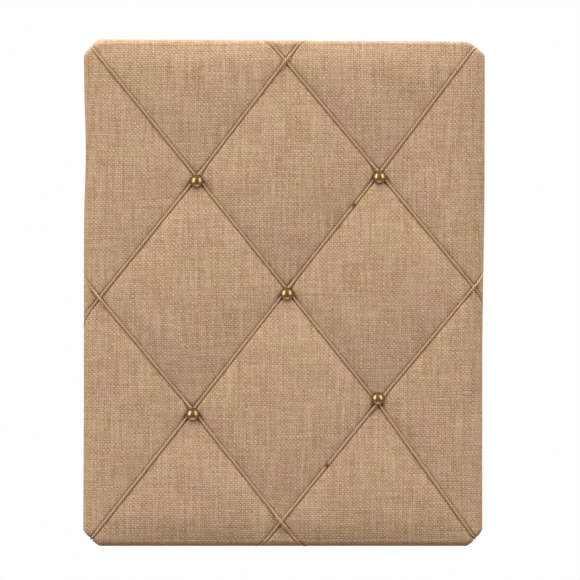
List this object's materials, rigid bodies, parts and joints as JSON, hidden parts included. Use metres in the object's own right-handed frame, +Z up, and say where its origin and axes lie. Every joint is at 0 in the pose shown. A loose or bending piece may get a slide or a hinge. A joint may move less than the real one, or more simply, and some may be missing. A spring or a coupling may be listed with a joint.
{
  "type": "french memo board",
  "caption": "Padded burlap memo board laced with a diamond lattice of jute twine under domed brass tacks; cards tuck behind the twine, and D-rings hang it on a wall.",
  "frame": {"origin": "middle of the panel's back face", "axes": "+X to the right as seen from the front, +Z up, -Y out of the padded front and +Y towards the wall"},
  "size_m": [0.2897, 0.0238, 0.366],
  "materials": {
    "mdf": "plain sanded MDF, unfinished",
    "wadding": "white polyester wadding, hidden under the burlap",
    "burlap": "natural burlap, coarse plain weave",
    "jute": "natural jute twine",
    "antique_brass": "antique brass, satin polish",
    "staple_wire": "galvanised flat wire",
    "zinc_steel": "bright zinc plate"
  },
  "bodies": {
    "board": {"burlap_cover": "burlap", "hanger_screw_left": "zinc_steel", "hanger_screw_right": "zinc_steel", "hanger_strap_left": "zinc_steel", "hanger_strap_right": "zinc_steel", "hem_staple_bottom_1": "staple_wire", "hem_staple_bottom_2": "staple_wire", "hem_staple_bottom_3": "staple_wire", "hem_staple_bottom_4": "staple_wire", "hem_staple_bottom_5": "staple_wire", "hem_staple_left_1": "staple_wire", "hem_staple_left_2": "staple_wire", "hem_staple_left_3": "staple_wire", "hem_staple_left_4": "staple_wire", "hem_staple_left_5": "staple_wire", "hem_staple_right_1": "staple_wire", "hem_staple_right_2": "staple_wire", "hem_staple_right_3": "staple_wire", "hem_staple_right_4": "staple_wire", "hem_staple_right_5": "staple_wire", "hem_staple_top_1": "staple_wire", "hem_staple_top_2": "staple_wire", "hem_staple_top_3": "staple_wire", "hem_staple_top_4": "staple_wire", "hem_staple_top_5": "staple_wire", "panel": "mdf", "tack_lower_left": "antique_brass", "tack_lower_right": "antique_brass", "tack_middle": "antique_brass", "tack_upper_left": "antique_brass", "tack_upper_right": "antique_brass", "twine_corner_falling": "jute", "twine_corner_rising": "jute", "twine_lower_left": "jute", "twine_lower_right": "jute", "twine_staple_corner_falling_1": "staple_wire", "twine_staple_corner_falling_2": "staple_wire", "twine_staple_corner_rising_1": "staple_wire", "twine_staple_corner_rising_2": "staple_wire", "twine_staple_lower_left_1": "staple_wire", "twine_staple_lower_left_2": "staple_wire", "twine_staple_lower_right_1": "staple_wire", "twine_staple_lower_right_2": "staple_wire", "twine_staple_upper_left_1": "staple_wire", "twine_staple_upper_left_2": "staple_wire", "twine_staple_upper_right_1": "staple_wire", "twine_staple_upper_right_2": "staple_wire", "twine_upper_left": "jute", "twine_upper_right": "jute", "wadding": "wadding"},
    "ring_left": {"hanger_ring_left": "zinc_steel"},
    "ring_right": {"hanger_ring_right": "zinc_steel"}
  },
  "joints": [
    {"name": "ring_left_swing", "type": "hinge", "parent": "board", "child": "ring_left", "pos_m": [-0.08, 0.0023, 0.1], "axis": [-1, 0, 0], "range_deg": [0, 165]},
    {"name": "ring_right_swing", "type": "hinge", "parent": "board", "child": "ring_right", "pos_m": [0.08, 0.0023, 0.1], "axis": [-1, 0, 0], "range_deg": [0, 165]}
  ]
}
